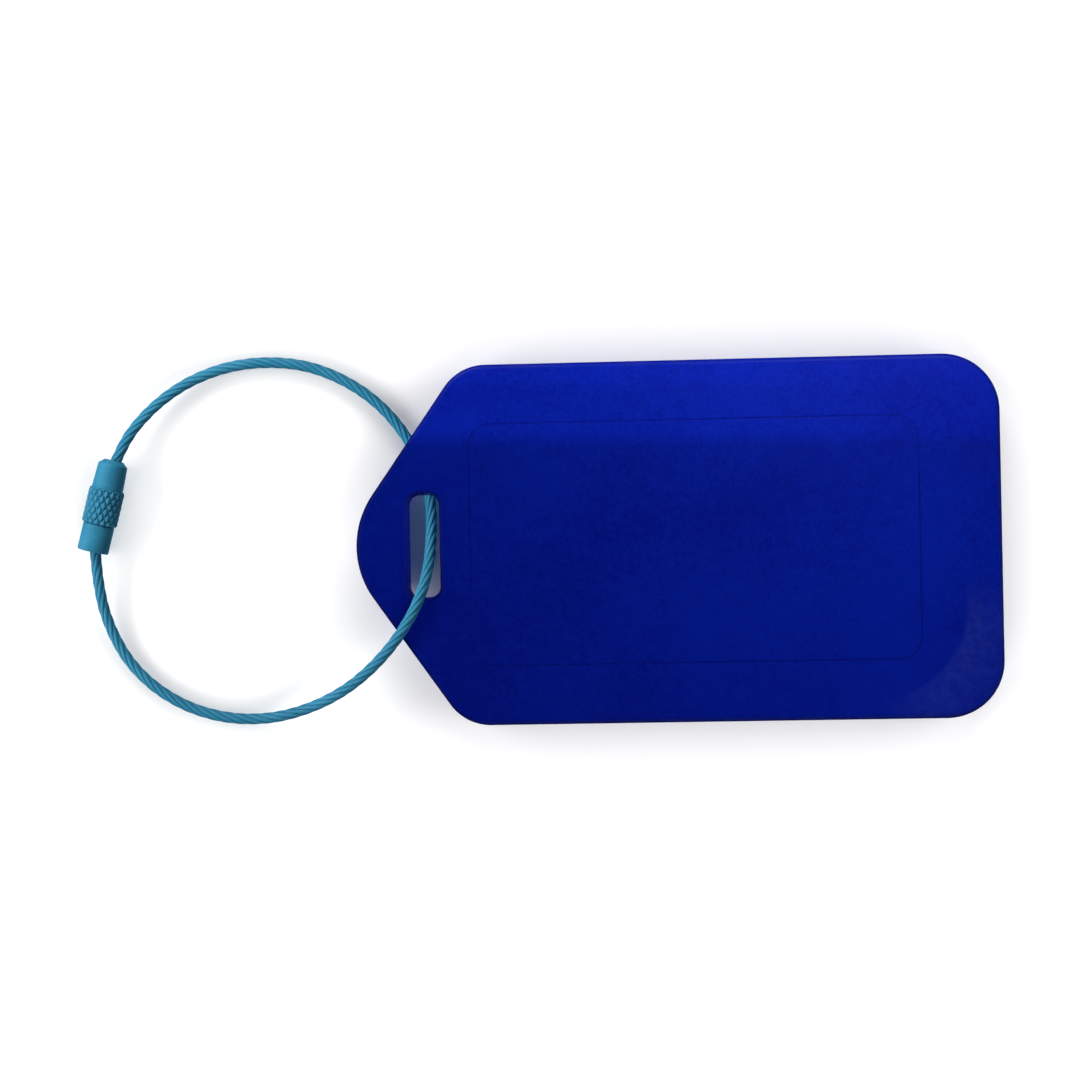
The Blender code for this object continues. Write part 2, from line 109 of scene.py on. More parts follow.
# The screw closure. Heights run along its axis from the rope's entry in the threaded end.
BARREL_BASE = Vector((-0.0853, 0.0002, 0.00265))
BARREL_LEAN = math.radians(14.5)
BARREL_LENGTH = 0.01365
LOWER_RADIUS = 0.00226
LOWER_LENGTH = 0.00404
LOWER_ROUND = 0.00018
SLEEVE_START = 0.0041
UPPER_RADIUS = 0.00213
UPPER_FOOT_RADIUS = 0.00227
UPPER_ROUND = 0.00042
DOME_HEIGHT = 0.00042
DOME_ANGLE = 72
COLLAR_RADIUS = 0.00128
KNURL_RADIUS = 0.00258
KNURL_END_RADIUS = 0.00236
KNURL_CHAMFER = 0.00022
KNURL_TOP = 0.00935
KNURL_COUNT = 17
KNURL_LEAD = 0.00173
KNURL_DEPTH = 0.00025
KNURL_FLANK = 1.5
KNURL_ROWS = 76
SLEEVE_COLUMNS = 204
SLEEVE_BORE_RADIUS = 0.00175
SLEEVE_THREAD_LENGTH = 0.0037
SHOULDER_START = 0.0116
SHOULDER_LENGTH = 0.0004
MOUTH_RADIUS = 0.00164
NECK_RADIUS = 0.00119
STUD_RADIUS = 0.00145
STUD_TIP = 0.0076
STUD_RELIEF = 0.0003
THREAD_PITCH = 0.0005
THREAD_DEPTH = 0.00022
THREAD_FLANK = 1.6
THREAD_ROOT = 0.3
THREAD_RUNOUT = 0.25
THREAD_STEPS = 8
SCREW_COLUMNS = 96
LOWER_HOLE_RADIUS = 0.0011
LOWER_HOLE_DEPTH = 0.0046
UPPER_EDGE_WEAR = 0.5
LOWER_EDGE_WEAR = 0.6

# The wire rope. Its route runs from the stop ferrule, round the far side of the loop, under the
# nose, up through the slot, over the nose and back to the threaded end.
ROPE_RADIUS = 0.0008
ROPE_STRANDS = 6
ROPE_LAY = 0.0118
STRAND_RADIUS = 0.00036
ROPE_RING_SPACING = 0.00022
STRAND_COLUMNS = 8
ROUTE_SAMPLES = 24
ROPE_ROUTE = [
    Vector((-0.08292, 0.00940, 0.00265)),
    Vector((-0.08247, 0.01114, 0.00265)),
    Vector((-0.08140, 0.01375, 0.00262)),
    Vector((-0.07965, 0.01700, 0.00242)),
    Vector((-0.07670, 0.02050, 0.00195)),
    Vector((-0.07090, 0.02470, 0.00125)),
    Vector((-0.06480, 0.02685, 0.00092)),
    Vector((-0.05880, 0.02735, 0.00085)),
    Vector((-0.05300, 0.02650, 0.00085)),
    Vector((-0.04745, 0.02410, 0.00085)),
    Vector((-0.04265, 0.02045, 0.00085)),
    Vector((-0.03950, 0.01665, 0.00086)),
    Vector((-0.03735, 0.01290, 0.00090)),
    Vector((-0.03605, 0.00885, 0.00098)),
    Vector((-0.03560, 0.00490, 0.00145)),
    Vector((-0.03555, 0.00150, 0.00255)),
    Vector((-0.03575, -0.00215, 0.00410)),
    Vector((-0.03645, -0.00570, 0.00552)),
    Vector((-0.03765, -0.00875, 0.00605)),
    Vector((-0.04050, -0.01330, 0.00600)),
    Vector((-0.04410, -0.01725, 0.00535)),
    Vector((-0.04855, -0.02065, 0.00390)),
    Vector((-0.05400, -0.02325, 0.00235)),
    Vector((-0.05985, -0.02465, 0.00130)),
    Vector((-0.06570, -0.02460, 0.00090)),
    Vector((-0.07175, -0.02295, 0.00085)),
    Vector((-0.07740, -0.01945, 0.00085)),
    Vector((-0.08070, -0.01590, 0.00092)),
    Vector((-0.08275, -0.01220, 0.00115)),
    Vector((-0.08400, -0.00850, 0.00160)),
    Vector((-0.08460, -0.00475, 0.00215)),
    Vector((-0.08485, -0.00115, 0.00255)),
    Vector((-0.08492, 0.00165, 0.00265)),
    Vector((-0.08422, 0.00436, 0.00265)),
]

# The camera, nearly overhead, and the studio turned with it
VIEW_CENTRE = Vector((-0.0196, 0.00056, 0.0048))
VIEW_WIDTH = 0.1552
VIEW_DISTANCE = 0.3
VIEW_LEAN = math.radians(3.04)
VIEW_TURN = math.radians(-1.15)
NEAREST_SEEN = 0.01

# Fineness of round shapes
ARC_STEP = math.radians(3)
ROUND_STEPS = 7
BALL_COLUMNS = 160
BALL_ROWS = 80
SHARP_ANGLE = math.radians(32)

# Colours, as linear light
BLUE_DEEP = (0.0, 0.0052, 0.205, 1)
BLUE_LIGHT = (0.0, 0.0100, 0.285, 1)
# Painted shade on the floor of the witness groove
BLUE_WITNESS_SHADE = (0.0, 0.0015, 0.090, 1)
# Painted shade on the rounded edges
BLUE_RIM_SHADE = (0.0, 0.0040, 0.130, 1)
# Paler blue for the corner arc, and for the edges, where it is partly rubbing and partly a painted
# highlight
BLUE_PALE = (0.10, 0.15, 0.40, 1)
ROPE_DEEP = (0.018, 0.200, 0.345, 1)
ROPE_LIGHT = (0.036, 0.265, 0.440, 1)
# Painted shade in the rope's creases
ROPE_CREASE_SHADE = (0.004, 0.062, 0.120, 1)
# Painted highlight on the strands' crowns
ROPE_CROWN_HIGHLIGHT = (0.085, 0.340, 0.500, 1)
PAINT_DEEP = (0.020, 0.190, 0.325, 1)
PAINT_LIGHT = (0.036, 0.245, 0.400, 1)
# Painted shade in the knurl's grooves
PAINT_GROOVE_SHADE = (0.010, 0.110, 0.205, 1)
PAINT_RUBBED = (0.110, 0.330, 0.460, 1)
STEEL_DEEP = (0.42, 0.43, 0.45, 1)
STEEL_LIGHT = (0.60, 0.61, 0.62, 1)
PAPER_DEEP = (0.72, 0.70, 0.64, 1)
PAPER_LIGHT = (0.84, 0.82, 0.77, 1)
INK = (0.05, 0.07, 0.12, 1)
PANE_DEEP = (0.90, 0.94, 0.96, 1)
PANE_LIGHT = (0.95, 0.97, 0.98, 1)
PANE_SHADOW = (0.9, 0.93, 0.95, 1)
FLOOR_SEEN = (0.93, 0.93, 0.935, 1)
FLOOR_UNSEEN = (0.08, 0.08, 0.085, 1)

# The range that a noise mostly keeps to, and what it gives as roughness
NOISE_RANGE = (0.3, 0.7)
BLUE_ROUGHNESS = (0.36, 0.50)
ROPE_ROUGHNESS = (0.36, 0.50)
PAINT_ROUGHNESS = (0.44, 0.58)
STEEL_ROUGHNESS = (0.22, 0.45)
PAPER_ROUGHNESS = (0.75, 0.92)
PANE_ROUGHNESS = (0.04, 0.16)

# How much of a second colour shows at the most
# Share of painted shade in the witness groove
WITNESS_SHADE_SHARE = (0.22, 0.55)
# Share of painted shade on the rounded edges
RIM_SHADE_SHARE = 0.55
# Share of paler blue in the arc at one corner
CORNER_ARC_SHARE = 0.10
# Share of paler blue along the edges: partly rubbing, partly a painted highlight
RUB_AND_HIGHLIGHT_SHARE = 0.04
# Share of painted shade in the rope's creases
CREASE_SHADE_SHARE = 0.75
# Share of painted highlight on the strands' crowns
CROWN_HIGHLIGHT_SHARE = (0.15, 0.5)
# Share of painted shade in the knurl's grooves
KNURL_GROOVE_SHADE_SHARE = 0.35
KNURL_RUB_SHARE = (0.1, 0.45)
INK_SHARE = (0.55, 0.85)

# The paler arc at one corner of the closed face, in metres from its centre
CORNER_ARC_CENTRE = (0.028, -0.010, 0.0048)
CORNER_ARC_EDGE = (0.0126, 0.0136)
CORNER_ARC_FADE = (0.0140, 0.0230)
CORNER_ARC_X = (0.0270, 0.0370)
CORNER_ARC_Y = (-0.0050, -0.0130)

# The card's ruled lines
LINE_SPACING = 0.0035
LINE_SHIFT = 0.0465
LINE_EDGE = (0.00014, 0.00009)
LINE_MIDDLE_X = 0.0024
LINE_HALF_LENGTH = 0.0265
LINE_HALF_BAND = 0.0130

# The world's light, from the horizon to straight above, and the floor's fading edge
HORIZON_LEVEL = 0.45
ZENITH_LEVEL = 0.04
ZENITH_START = 0.95
FLOOR_HALF = 1.5
FLOOR_FADE = (0.35, 0.75)

# The flag is upright behind the tag, and the shade lies under the slot
FLAG_HALF = 0.6
FLAG_Y = 0.0504
FLAG_LOW = TAG_TOP + 0.030
FLAG_HIGH = TAG_TOP + 0.45
SHADE_HEIGHT = 0.0006
SHADE_CORNERS = [
    (-0.0440, -0.0060),
    (-0.0385, -0.0060),
    (-0.0345, 0.0),
    (-0.0345, 0.0095),
    (-0.0440, 0.0095),
]

# Each lamp's name, place, target, width, depth, watts, and the groups it lights and is cut by
ORIGIN = (0, 0, 0)
FAR_EDGE = (-0.16, 0.02, 0)
INNER = (-0.06, 0, 0)
LAMPS = [
    ("left_light", (-0.55, 0.10, 0.38), ORIGIN, 0.45, 0.35, 1.45, "off_floor", "past_flag"),
    ("loop_light", (-0.50, -0.20, 0.28), INNER, 0.30, 0.20, 1.25, "loop_only", "past_tag"),
    ("loop_top_light", (-0.12, 0.12, 0.10), INNER, 0.06, 0.05, 0.18, "loop_only", "past_tag"),
    ("right_light", (0.55, -0.15, 0.40), ORIGIN, 0.5, 0.35, 0.8, "tag_only", "past_flag"),
    ("front_light", (0.0, -0.60, 0.42), ORIGIN, 0.5, 0.30, 0.6, "off_floor", "past_flag"),
    ("near_light", (0.035, 0.075, 0.080), (0.02, 0, 0), 0.05, 0.04, 0.075, "tag_only", "past_flag"),
    ("back_light_low", (-0.16, 0.25, 0.2021), FAR_EDGE, 0.10, 0.0085, 0.84, "tag_only", None),
    ("back_light_high", (-0.16, 0.25, 0.2502), FAR_EDGE, 0.10, 0.0095, 0.43, "tag_only", None),
    ("floor_left", (-0.8, 0, 0.32), ORIGIN, 1.0, 0.4, 8.0, "floor_only", "off_flag"),
    ("floor_right", (0.8, 0, 0.32), ORIGIN, 1.0, 0.4, 8.0, "floor_only", "off_flag"),
    ("floor_back", (0, 0.8, 0.32), ORIGIN, 1.0, 0.4, 8.0, "floor_only", "off_flag"),
    ("floor_front", (0, -0.8, 0.32), ORIGIN, 1.0, 0.4, 8.0, "floor_only", "off_flag"),
    ("under_light", (0, 0, -0.5), ORIGIN, 0.6, 0.6, 2.4, "off_floor", "past_flag"),
]

# Lamps that show in no reflection
UNREFLECTED = ("floor_left", "floor_right", "floor_back", "floor_front", "under_light")

# The turn of the camera and of all the lamps about the vertical
STUDIO = Matrix.Rotation(VIEW_TURN, 4, "Z")


# ---------------------------------------------------------------- shapes


def ring_points(corners, inset, height):
    """The outline of (x, y, radius) corners, counter-clockwise, moved inwards and lifted."""
    points = []
    for index, (x, y, radius) in enumerate(corners):
        corner = Vector((x, y))
        before = (Vector(corners[index - 1][:2]) - corner).normalized()
        after = (Vector(corners[(index + 1) % len(corners)][:2]) - corner).normalized()
        half_angle = before.angle(after) / 2
        centre = corner + (before + after).normalized() * radius / math.sin(half_angle)
        start = (corner + before * radius / math.tan(half_angle) - centre).normalized()
        bend = 1 if after.cross(before) > 0 else -1
        turn = math.pi - 2 * half_angle
        steps = max(4, round(turn / ARC_STEP))
        for step in range(steps + 1):
            direction = Matrix.Rotation(bend * turn * step / steps, 2) @ start
            place = centre + direction * (radius - bend * inset)
            points.append(Vector((place.x, place.y, height)))
    return points


def rectangle(start_x, end_x, width, corner):
    return [
        (start_x, -width / 2, corner),
        (end_x, -width / 2, corner),
        (end_x, width / 2, corner),
        (start_x, width / 2, corner),
    ]


def nose_vertex_x():
    return -TAG_LENGTH / 2 - NOSE_RADIUS * (1 / math.sin(NOSE_SLOPE) - 1)


def shoulder_corner(side):
    x = nose_vertex_x() + TAG_WIDTH / 2 / math.tan(NOSE_SLOPE)
    return (x, side * TAG_WIDTH / 2, SHOULDER_RADIUS)


def end_corner(side):
    return (TAG_LENGTH / 2, side * TAG_WIDTH / 2, CORNER_RADIUS)


def tag_corners():
    nose = (nose_vertex_x(), 0, NOSE_RADIUS)
    return [nose, shoulder_corner(-1), end_corner(-1), end_corner(1), shoulder_corner(1)]


def frame_corners():
    """The tag's outline, cut straight across behind the slot."""
    front_y = (FRAME_FRONT_X - nose_vertex_x()) * math.tan(NOSE_SLOPE)
    return [
        (FRAME_FRONT_X, -front_y, FRAME_FRONT_RADIUS),
        shoulder_corner(-1),
        end_corner(-1),
        end_corner(1),
        shoulder_corner(1),
        (FRAME_FRONT_X, front_y, FRAME_FRONT_RADIUS),
    ]


def slot_corners(inset):
    """The slot's outline, which narrows a little downwards as a moulded hole does."""
    half_width = SLOT_WIDTH / 2 - inset
    return rectangle(
        SLOT_CENTRE_X - half_width,
        SLOT_CENTRE_X + half_width,
        SLOT_LENGTH - 2 * inset,
        SLOT_CORNER - inset,
    )


def opening_corners():
    """The window opening, with the notch for the knuckle in its hinge side."""
    half = POCKET_WIDTH / 2
    return [
        (OPENING_START_X, -half, POCKET_CORNER),
        (POCKET_END_X, -half, POCKET_CORNER),
        (POCKET_END_X, half, POCKET_CORNER),
        (OPENING_START_X, half, POCKET_CORNER),
        (OPENING_START_X, NOTCH_HALF_WIDTH, NOTCH_CORNER),
        (NOTCH_START_X, NOTCH_HALF_WIDTH, NOTCH_CORNER),
        (NOTCH_START_X, -NOTCH_HALF_WIDTH, NOTCH_CORNER),
        (OPENING_START_X, -NOTCH_HALF_WIDTH, NOTCH_CORNER),
    ]


class Skin:
    """A surface made of rings of points, with a share kept at each point, such as an edge's share
    or a crease's depth, for wear and for painted shade and painted highlight.
    """

    def __init__(self):
        self.shape = bmesh.new()
        self.layer = self.shape.verts.layers.float.new("wear_and_painted_light")

    def ring(self, points, wear_and_painted_light=0.0):
        made = []
        shares = wear_and_painted_light if isinstance(wear_and_painted_light, list) else [wear_and_painted_light] * len(points)
        for point, share in zip(points, shares):
            vertex = self.shape.verts.new(point)
            vertex[self.layer] = share
            made.append(vertex)
        return made

    def bridge(self, rings):
        for first, second in zip(rings, rings[1:]):
            for index in range(len(first)):
                after = (index + 1) % len(first)
                self.shape.faces.new(
                    (first[index], first[after], second[after], second[index])
                )

    def cap(self, ring, point):
        """Close a ring with triangles to one point in its middle."""
        middle = self.shape.verts.new(point)
        for index, vertex in enumerate(ring):
            self.shape.faces.new((vertex, ring[(index + 1) % len(ring)], middle))

    def fill(self, rings):
        """Close the flat face between one outline and the holes in it."""
        edges = []
        for ring in rings:
            for index, vertex in enumerate(ring):
                after = ring[(index + 1) % len(ring)]
                edge = self.shape.edges.get((vertex, after))
                edges.append(edge or self.shape.edges.new((vertex, after)))
        bmesh.ops.triangle_fill(self.shape, edges=edges, use_beauty=True)

    def make(self, name, material):
        bmesh.ops.recalc_face_normals(self.shape, faces=self.shape.faces)
        mesh = bpy.data.meshes.new(name)
        self.shape.to_mesh(mesh)
        self.shape.free()
        made = bpy.data.objects.new(name, mesh)
        bpy.context.scene.collection.objects.link(made)
        mesh.materials.append(material)
        mesh.shade_smooth()
        mesh.set_sharp_from_angle(angle=SHARP_ANGLE)
        return made


def rounded_edge(skin, corners, radius, height, upwards, outwards):
    """Rings of a rounded edge, from the wall to the flat face that it meets."""
    rings = []
    lift = 1 if upwards else -1
    side = 1 if outwards else -1
    for step in range(ROUND_STEPS + 1):
        angle = math.pi / 2 * step / ROUND_STEPS
        inset = side * radius * (1 - math.cos(angle))
        level = height - lift * radius * (1 - math.sin(angle))
        # The share, highest half way round the edge, carries the painted shade on it and its paler
        # rubbing and painted highlight.
        share = math.sin(2 * angle)
        rings.append(skin.ring(ring_points(corners, inset, level), share))
    support = side * (radius + SUPPORT)
    rings.append(skin.ring(ring_points(corners, support, height)))
    return rings


def make_tag_back(material):
    """The closed half: rounded rim, slotted nose, witness line and the pocket underneath."""
    skin = Skin()
    outline = tag_corners()
    under = skin.ring(ring_points(outline, PARTING_BREAK, SHELL_LOW))
    wall = skin.ring(ring_points(outline, 0, SHELL_LOW + PARTING_BREAK))
    rim = rounded_edge(skin, outline, EDGE_ROUND, TAG_TOP, upwards=True, outwards=True)
    skin.bridge([under, wall] + rim)

    lip_corners = slot_corners(SLOT_TOP_INSET)
    foot_corners = slot_corners(SLOT_FOOT_INSET)
    lip = rounded_edge(skin, lip_corners, SLOT_ROUND, TAG_TOP, upwards=True, outwards=False)
    foot = rounded_edge(
        skin, foot_corners, SLOT_LOW_ROUND, SHELL_LOW, upwards=False, outwards=False
    )
    skin.bridge(list(reversed(lip)) + foot)

    witness = rectangle(WITNESS_START_X, WITNESS_END_X, WITNESS_WIDTH, WITNESS_CORNER)
    # The groove's floor gets a tone of -1, which carries the painted shade in blue_plastic.
    groove = [
        skin.ring(ring_points(witness, inset, TAG_TOP - depth), tone)
        for inset, depth, tone in (
            (-WITNESS_HALF_WIDTH - SUPPORT, 0, 0.0),
            (-WITNESS_HALF_WIDTH, 0, 0.0),
            (-WITNESS_FLOOR, WITNESS_DEPTH, -1.0),
            (WITNESS_FLOOR, WITNESS_DEPTH, -1.0),
            (WITNESS_HALF_WIDTH, 0, 0.0),
            (WITNESS_HALF_WIDTH + SUPPORT, 0, 0.0),
        )
    ]
    skin.bridge(groove)
    skin.fill([rim[-1], lip[-1], groove[0]])
    skin.fill([groove[-1]])

    pocket = rectangle(POCKET_START_X, POCKET_END_X, POCKET_WIDTH, POCKET_CORNER)
    pocket_rim = skin.ring(ring_points(pocket, 0, SHELL_LOW))
    pocket_top = skin.ring(ring_points(pocket, 0, POCKET_CEILING))
    skin.bridge([pocket_rim, pocket_top])
    skin.fill([pocket_top])
    skin.fill([under, foot[-1], pocket_rim])
    return skin.make("tag_back", material)


def make_tag_frame(material):
    """The open half: a flat frame round the window, notched for the knuckle and for a nail."""
    skin = Skin()
    outline = frame_corners()
    upper = skin.ring(ring_points(outline, PARTING_BREAK, FRAME_TOP))
    wall = skin.ring(ring_points(outline, 0, FRAME_TOP - PARTING_BREAK))
    rim = rounded_edge(skin, outline, EDGE_ROUND, 0, upwards=False, outwards=True)
    skin.bridge([upper, wall] + rim)
    opening = opening_corners()
    inner_top = skin.ring(ring_points(opening, 0, FRAME_TOP))
    lip = rounded_edge(skin, opening, OPENING_ROUND, 0, upwards=False, outwards=False)
    skin.bridge([inner_top] + lip)
    skin.fill([upper, inner_top])
    skin.fill([rim[-1], lip[-1]])
    return skin.make("tag_frame", material)


def ring_round(place, radii, height):
    """Points round the closure's axis, one for each radius."""
    points = []
    for index, radius in enumerate(radii):
        angle = 2 * math.pi * index / len(radii)
        local = Vector((radius * math.cos(angle), radius * math.sin(angle), height))
        points.append(place @ local)
    return points


def barrel_place():
    """The closure's frame: Z along its axis, X towards the inside of the loop."""
    along = Vector((math.sin(BARREL_LEAN), math.cos(BARREL_LEAN), 0))
    inward = Vector((math.cos(BARREL_LEAN), -math.sin(BARREL_LEAN), 0))
    turn = Matrix((inward, along.cross(inward), along)).transposed().to_4x4()
    return Matrix.Translation(BARREL_BASE) @ turn


def ridge(turns):
    """1 half way between two grooves and 0 in a groove, rounded at both."""
    share = abs(2 * (turns % 1) - 1)
    share = min(1, share * KNURL_FLANK)
    return share * share * (3 - 2 * share)


def knurl_share(angle, height):
    """How far a point of the knurled band stands up between its crossed grooves."""
    around = KNURL_COUNT * angle / (2 * math.pi)
    along = height / KNURL_LEAD
    return ridge(around + along + 0.5) * ridge(around - along + 0.5)


def quarter(radius_centre, height_centre, size, start, end):
    """Profile points of a rounded corner, from one angle to another."""
    points = []
    for step in range(ROUND_STEPS + 1):
        angle = math.radians(start + (end - start) * step / ROUND_STEPS)
        points.append(
            (radius_centre + size * math.cos(angle), height_centre + size * math.sin(angle))
        )
    return points


def thread_share(angle, height):
    """0 at a thread's root and 1 at its crest."""
    turns = height / THREAD_PITCH - angle / (2 * math.pi)
    return min(1, max(0, THREAD_FLANK * abs(2 * (turns % 1) - 1) - THREAD_ROOT))


def make_knurled_barrel(material):
    skin = Skin()
    place = barrel_place()
    count = SLEEVE_COLUMNS
    angles = [2 * math.pi * index / count for index in range(count)]
    rings = []

    def plain(radius, height, wear_and_painted_light=0.0):
        rings.append(skin.ring(ring_round(place, [radius] * count, height), wear_and_painted_light))

    plain(COLLAR_RADIUS, BARREL_LENGTH - DOME_HEIGHT)
    plain(COLLAR_RADIUS, BARREL_LENGTH - LOWER_ROUND / 2)
    plain(COLLAR_RADIUS + LOWER_ROUND / 2, BARREL_LENGTH)
    centre_radius = UPPER_RADIUS - UPPER_ROUND
    centre_height = BARREL_LENGTH - DOME_HEIGHT - UPPER_ROUND
    for radius, height in quarter(centre_radius, centre_height, UPPER_ROUND, DOME_ANGLE, 0):
        plain(radius, height, UPPER_EDGE_WEAR)
    plain(UPPER_FOOT_RADIUS, KNURL_TOP + SUPPORT)
    plain(UPPER_FOOT_RADIUS, KNURL_TOP)
    band = KNURL_TOP - SLEEVE_START
    for row in range(KNURL_ROWS + 1):
        height = KNURL_TOP - band * row / KNURL_ROWS
        from_end = min(height - SLEEVE_START, KNURL_TOP - height)
        limit = KNURL_RADIUS
        if from_end < KNURL_CHAMFER:
            rise = from_end / KNURL_CHAMFER
            limit = KNURL_END_RADIUS + (KNURL_RADIUS - KNURL_END_RADIUS) * rise
        shares = [knurl_share(angle, height) for angle in angles]
        radii = [min(limit, KNURL_RADIUS - KNURL_DEPTH * (1 - share)) for share in shares]
        # Below zero in the grooves, which carries their painted shade; near one on the peaks, which
        # are rubbed lighter.
        tones = [2 * share - 1 for share in shares]
        rings.append(skin.ring(ring_round(place, radii, height), tones))
    plain(SLEEVE_BORE_RADIUS + LOWER_ROUND, SLEEVE_START)
    rows = round(SLEEVE_THREAD_LENGTH / THREAD_PITCH * THREAD_STEPS)
    for row in range(rows + 1):
        height = SLEEVE_START + LOWER_ROUND + SLEEVE_THREAD_LENGTH * row / rows
        radii = [
            SLEEVE_BORE_RADIUS + LOWER_ROUND / 2 * thread_share(angle, height)
            for angle in angles
        ]
        rings.append(skin.ring(ring_round(place, radii, height)))
    plain(SLEEVE_BORE_RADIUS, SHOULDER_START)
    plain(NECK_RADIUS, SHOULDER_START)
    plain(NECK_RADIUS, SHOULDER_START + SHOULDER_LENGTH)
    skin.bridge(rings + rings[:1])
    return skin.make("knurled_barrel", material)


def make_screw_end(material):
    skin = Skin()
    place = barrel_place()
    count = SCREW_COLUMNS
    angles = [2 * math.pi * index / count for index in range(count)]
    rings = []

    def plain(radius, height, wear_and_painted_light=0.0):
        rings.append(skin.ring(ring_round(place, [radius] * count, height), wear_and_painted_light))

    plain(LOWER_HOLE_RADIUS, LOWER_HOLE_DEPTH)
    plain(LOWER_HOLE_RADIUS, LOWER_HOLE_DEPTH / 2)
    plain(MOUTH_RADIUS, 0)
    edge = LOWER_RADIUS - LOWER_ROUND
    for radius, height in quarter(edge, LOWER_ROUND, LOWER_ROUND, -90, 0):
        plain(radius, height, LOWER_EDGE_WEAR)
    for radius, height in quarter(edge, LOWER_LENGTH - LOWER_ROUND, LOWER_ROUND, 0, 90):
        plain(radius, height, LOWER_EDGE_WEAR)
    root = STUD_RADIUS - THREAD_DEPTH / 2
    plain(root, LOWER_LENGTH)
    low = LOWER_LENGTH + STUD_RELIEF
    plain(root, low)
    high = STUD_TIP - STUD_RELIEF
    rows = round((high - low) / THREAD_PITCH * THREAD_STEPS)
    for row in range(1, rows + 1):
        height = low + (high - low) * row / rows
        fade = min(1, min(row, rows - row) / rows / THREAD_RUNOUT)
        shares = [fade * thread_share(angle, height) for angle in angles]
        radii = [root + THREAD_DEPTH * share for share in shares]
        rings.append(skin.ring(ring_round(place, radii, height), shares))
    plain(root, STUD_TIP - STUD_RELIEF / 2)
    plain(root - STUD_RELIEF / 2, STUD_TIP)
    skin.bridge(rings)
    skin.cap(rings[-1], place @ Vector((0, 0, STUD_TIP)))
    skin.cap(rings[0], place @ Vector((0, 0, LOWER_HOLE_DEPTH)))
    return skin.make("screw_end", material)


def smooth_route(route, spacing):
    """Read evenly spaced points from a smooth curve through the route's points."""
    chords = [(after - before).length for before, after in zip(route, route[1:])]
    slopes = [(after - before) / (after - before).length for before, after in zip(route, route[1:])]
    tangents = [slopes[0]]
    for index in range(1, len(route) - 1):
        near = chords[index - 1]
        far = chords[index]
        tangents.append((slopes[index - 1] * far + slopes[index] * near) / (near + far))
    tangents.append(slopes[-1])
    fine = [route[0].copy()]
    for index, chord in enumerate(chords):
        for sample in range(1, ROUTE_SAMPLES + 1):
            t = sample / ROUTE_SAMPLES
            start_weight = (1 + 2 * t) * (1 - t) ** 2
            end_weight = t * t * (3 - 2 * t)
            start_slope = t * (1 - t) ** 2 * chord
            end_slope = t * t * (t - 1) * chord
            fine.append(
                route[index] * start_weight
                + route[index + 1] * end_weight
                + tangents[index] * start_slope
                + tangents[index + 1] * end_slope
            )
    steps = [(after - before).length for before, after in zip(fine, fine[1:])]
    count = round(sum(steps) / spacing)
    goal_step = sum(steps) / count
    points = [fine[0]]
    travelled = 0.0
    for before, after, step in zip(fine, fine[1:], steps):
        while len(points) < count and travelled + step >= goal_step * len(points):
            share = (goal_step * len(points) - travelled) / step
            points.append(before.lerp(after, share))
        travelled += step
    points.append(fine[-1])
    return points


def strand_radius_at(angle):
    """The rope's outer radius at an angle from the crown of a strand."""
    offset = ROPE_RADIUS - STRAND_RADIUS
    across = offset * math.sin(angle)
    return offset * math.cos(angle) + math.sqrt(STRAND_RADIUS**2 - across**2)


def make_rope(material):
    """Six strands laid right-handed round the route, in one skin with creases between them."""
    route = smooth_route(ROPE_ROUTE, ROPE_RING_SPACING)
    columns = ROPE_STRANDS * STRAND_COLUMNS
    crest_step = 2 * math.pi / ROPE_STRANDS
    valley = strand_radius_at(crest_step / 2)
    radii = []
    for column in range(columns):
        local = (column % STRAND_COLUMNS) / STRAND_COLUMNS - 0.5
        radii.append(strand_radius_at(local * crest_step))
    # The depth into a crease carries its painted shade, and near zero the painted highlight on the
    # crowns.
    depths = [(ROPE_RADIUS - radius) / (ROPE_RADIUS - valley) for radius in radii]
    skin = Skin()
    rings = []
    side = Vector((0, 0, 1))
    travelled = 0.0
    for index, point in enumerate(route):
        before = route[max(0, index - 1)]
        after = route[min(len(route) - 1, index + 1)]
        travelled += (point - before).length
        tangent = (after - before).normalized()
        side = (side - tangent * side.dot(tangent)).normalized()
        across = tangent.cross(side)
        laid = 2 * math.pi * travelled / ROPE_LAY
        ring = []
        for column, radius in enumerate(radii):
            angle = laid + 2 * math.pi * column / columns
            ring.append(point + (side * math.cos(angle) + across * math.sin(angle)) * radius)
        rings.append(skin.ring(ring, depths))
    skin.bridge(rings)
    skin.cap(rings[0], route[0])
    skin.cap(rings[-1], route[-1])
    rope = skin.make("rope", material)
    return rope, route, travelled


# ---------------------------------------------------------------- materials


def add(tree, kind, inputs=None, **settings):
    """A new node with its settings, and its inputs either set or linked."""
    node = tree.nodes.new(kind)
    for name, value in settings.items():
        setattr(node, name, value)
    for key, value in (inputs or {}).items():
        socket = node.inputs[key]
        if isinstance(value, bpy.types.NodeSocket):
            tree.links.new(value, socket)
        else:
            socket.default_value = value
    return node


def noise(tree, place, scale, detail=2.0, roughness=0.5):
    inputs = {"Vector": place, "Scale": scale, "Detail": detail, "Roughness": roughness}
    return add(tree, "ShaderNodeTexNoise", inputs).outputs["Fac"]


def maths(tree, operation, first, second=0.0):
    return add(tree, "ShaderNodeMath", {0: first, 1: second}, operation=operation).outputs[0]


def spread(tree, value, low, high, to_low=0.0, to_high=1.0, smooth=False):
    """Map a range of a value to another range and keep it there."""
    inputs = {
        "Value": value,
        "From Min": low,
        "From Max": high,
        "To Min": to_low,
        "To Max": to_high,
    }
    kind = "SMOOTHSTEP" if smooth else "LINEAR"
    node = add(tree, "ShaderNodeMapRange", inputs, interpolation_type=kind)
    return node.outputs["Result"]


